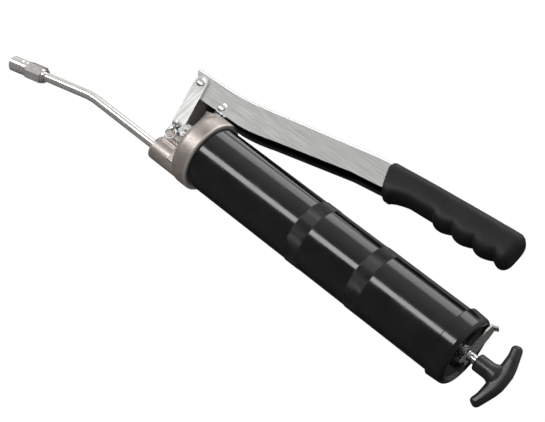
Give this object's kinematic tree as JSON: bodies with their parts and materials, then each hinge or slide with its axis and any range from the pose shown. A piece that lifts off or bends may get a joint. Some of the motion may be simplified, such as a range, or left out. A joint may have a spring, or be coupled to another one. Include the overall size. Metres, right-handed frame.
{
  "type": "grease gun",
  "caption": "Lever-action grease gun with a cartridge barrel, cast pump head, bent steel spout with coupler, rubber-gripped lever and a T-handle rod.",
  "frame": {"origin": "on the barrel's axis, midway between its two knurled bands, where a clip or bracket holds the gun", "axes": "+X along the barrel towards the T-handle, +Z towards the lever, +Y completes the frame; the near side is -Y"},
  "size_m": [0.5255, 0.0646, 0.1497],
  "materials": {
    "cast_metal": "sand-textured die casting, satin",
    "zinc_steel": "zinc plated, lightly brushed",
    "ground_steel": "ground and polished",
    "spring_wire": "bright wire",
    "nickel_plate": "polished nickel plate",
    "gloss_paint": "gloss black enamel",
    "grip_rubber": "matte moulded rubber",
    "seal_rubber": "smooth nitrile",
    "handle_plastic": "satin moulded plastic"
  },
  "bodies": {
    "barrel": {"barrel_tube": "gloss_paint", "rear_cap": "gloss_paint", "rod_guide": "ground_steel", "latch_spring": "spring_wire", "follower_spring": "spring_wire"},
    "gasket": {"head_gasket": "seal_rubber"},
    "head": {"pump_head": "cast_metal", "plunger_gland": "zinc_steel", "link_pin": "zinc_steel", "bleed_valve": "zinc_steel", "spout_pipe": "nickel_plate", "coupler_body": "nickel_plate", "coupler_sleeve": "nickel_plate", "coupler_seal": "seal_rubber", "coupler_spring": "spring_wire", "check_spring": "spring_wire"},
    "link": {"link_bar_near": "zinc_steel", "link_bar_far": "zinc_steel", "lever_pin": "zinc_steel"},
    "lever": {"lever_channel": "zinc_steel", "lever_grip": "grip_rubber", "plunger_pin": "zinc_steel"},
    "plunger": {"pump_plunger": "ground_steel"},
    "ring": {"link_pin_ring": "spring_wire"},
    "bleed_press": {"bleed_button": "zinc_steel"},
    "check_valve_ball": {"check_ball": "ground_steel"},
    "jaws": {"coupler_jaw_1": "ground_steel", "coupler_jaw_2": "ground_steel", "coupler_jaw_3": "ground_steel", "coupler_jaw_4": "ground_steel"},
    "rod_catch": {"catch_washer": "ground_steel"},
    "rod": {"follower_rod": "ground_steel", "rod_nut": "zinc_steel", "t_handle": "handle_plastic"},
    "follower": {"follower_cup": "seal_rubber", "follower_plate": "ground_steel"},
    "latch": {"latch_plate": "nickel_plate"}
  },
  "joints": [
    {"name": "head_advance", "type": "slide", "parent": "barrel", "child": "gasket", "axis": [-1, 0, 0], "range_m": [0, 0.006]},
    {"name": "head_unscrew", "type": "hinge", "parent": "gasket", "child": "head", "pos_m": [-0.16, 0, 0], "axis": [-1, 0, 0], "range_deg": [0, 1080]},
    {"name": "link_pivot", "type": "hinge", "parent": "head", "child": "link", "pos_m": [-0.186, 0, 0.0005], "axis": [0, 1, 0], "range_deg": [0, 3.5]},
    {"name": "lever_pivot", "type": "hinge", "parent": "link", "child": "lever", "pos_m": [-0.199, 0, 0.0435], "axis": [0, -1, 0], "range_deg": [0, 44]},
    {"name": "plunger_slide", "type": "slide", "parent": "head", "child": "plunger", "axis": [0, 0, 1], "range_m": [0, 0.0222]},
    {"name": "ring_swing", "type": "hinge", "parent": "head", "child": "ring", "pos_m": [-0.18422, -0.0174, -0.00439], "axis": [0, 1, 0], "range_deg": [0, 25]},
    {"name": "bleed_press", "type": "slide", "parent": "head", "child": "bleed_press", "axis": [0, 1, 0], "range_m": [0, 0.001], "stiffness_N_per_m": 400, "springref_m": -0.002},
    {"name": "check_ball_lift", "type": "slide", "parent": "head", "child": "check_valve_ball", "axis": [-1, 0, 0], "range_m": [0, 0.0008], "stiffness_N_per_m": 150, "springref_m": -0.002, "deforming": ["check_spring"]},
    {"name": "jaw_retract", "type": "slide", "parent": "head", "child": "jaws", "axis": [0.9728, 0, 0.2317], "range_m": [0, 0.0006], "stiffness_N_per_m": 800, "springref_m": -0.002, "deforming": ["coupler_spring"]},
    {"name": "rod_slide", "type": "slide", "parent": "barrel", "child": "rod_catch", "axis": [1, 0, 0], "range_m": [0, 0.212]},
    {"name": "rod_turn", "type": "hinge", "parent": "rod_catch", "child": "rod", "pos_m": [0.15, 0, 0], "axis": [1, 0, 0], "continuous": true},
    {"name": "follower_slide", "type": "slide", "parent": "barrel", "child": "follower", "axis": [1, 0, 0], "range_m": [0, 0.212], "deforming": ["follower_spring"]},
    {"name": "latch_tilt", "type": "hinge", "parent": "barrel", "child": "latch", "pos_m": [0.12815, 0, -0.01], "axis": [0, 1, 0], "range_deg": [0, 4], "stiffness_Nm_per_rad": 0.4, "springref_deg": -5.73, "deforming": ["latch_spring"]}
  ],
  "couplings": [
    {"joint": "head_unscrew", "follows": "head_advance", "rad_per_m": 3141.6},
    {"joint": "link_pivot", "follows": "lever_pivot", "ratio": 0.075},
    {"joint": "plunger_slide", "follows": "lever_pivot", "m_per_rad": 0.0286},
    {"joint": "follower_slide", "follows": "rod_slide", "ratio": 1}
  ]
}
